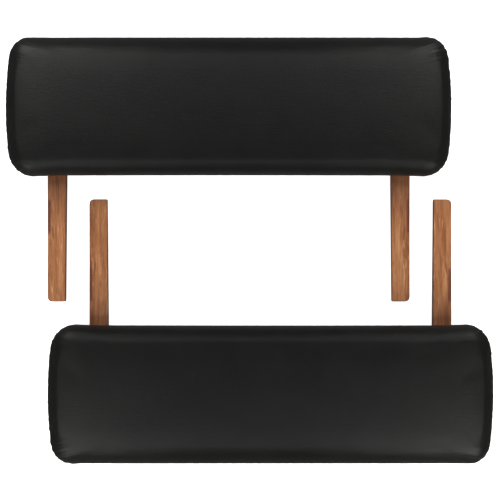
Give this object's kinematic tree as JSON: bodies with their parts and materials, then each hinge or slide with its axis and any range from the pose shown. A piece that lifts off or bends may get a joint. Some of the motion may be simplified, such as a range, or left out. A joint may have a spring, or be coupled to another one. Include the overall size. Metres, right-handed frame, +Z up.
{
  "type": "massage table side armrest pair",
  "caption": "Removable side armrests for a portable massage table: long black padded panels with bowed ends, on wooden rails that plug into the table frame.",
  "frame": {"origin": "middle of the pair, on the surface it lies on: the centre of the undersides' box", "axes": "+X along the panels towards the table's head end, +Y across the table towards the left armrest, +Z up out of the padded faces"},
  "size_m": [0.722, 0.63, 0.0744],
  "materials": {
    "leathercloth": "black polyurethane leathercloth, fine pebble grain, semi-gloss",
    "soft_foam": "open-cell upholstery foam, soft, cream",
    "firm_foam": "bonded upholstery foam, firm, blue-grey",
    "plywood": "sanded poplar plywood",
    "lining_cloth": "black spun-bonded non-woven",
    "staple_wire": "galvanised wire",
    "rail_wood": "reddish brown hardwood, satin varnish",
    "bolt_steel": "zinc plated",
    "nut_steel": "yellow passivated zinc"
  },
  "bodies": {
    "left_armrest": {"left_cover": "leathercloth", "left_comfort_foam": "soft_foam", "left_base_foam": "firm_foam", "left_board": "plywood", "left_lining": "lining_cloth", "left_cover_staples": "staple_wire", "left_lining_staples": "staple_wire", "left_head_rail": "rail_wood", "left_foot_rail": "rail_wood", "left_rail_bolts": "bolt_steel", "left_tee_nuts": "nut_steel"},
    "right_armrest": {"right_cover": "leathercloth", "right_comfort_foam": "soft_foam", "right_base_foam": "firm_foam", "right_board": "plywood", "right_lining": "lining_cloth", "right_cover_staples": "staple_wire", "right_lining_staples": "staple_wire", "right_head_rail": "rail_wood", "right_foot_rail": "rail_wood", "right_rail_bolts": "bolt_steel", "right_tee_nuts": "nut_steel"}
  },
  "joints": [
    {"name": "right_armrest_pull", "type": "slide", "parent": "left_armrest", "child": "right_armrest", "axis": [0, -1, 0], "range_m": [0, 0.2]}
  ]
}
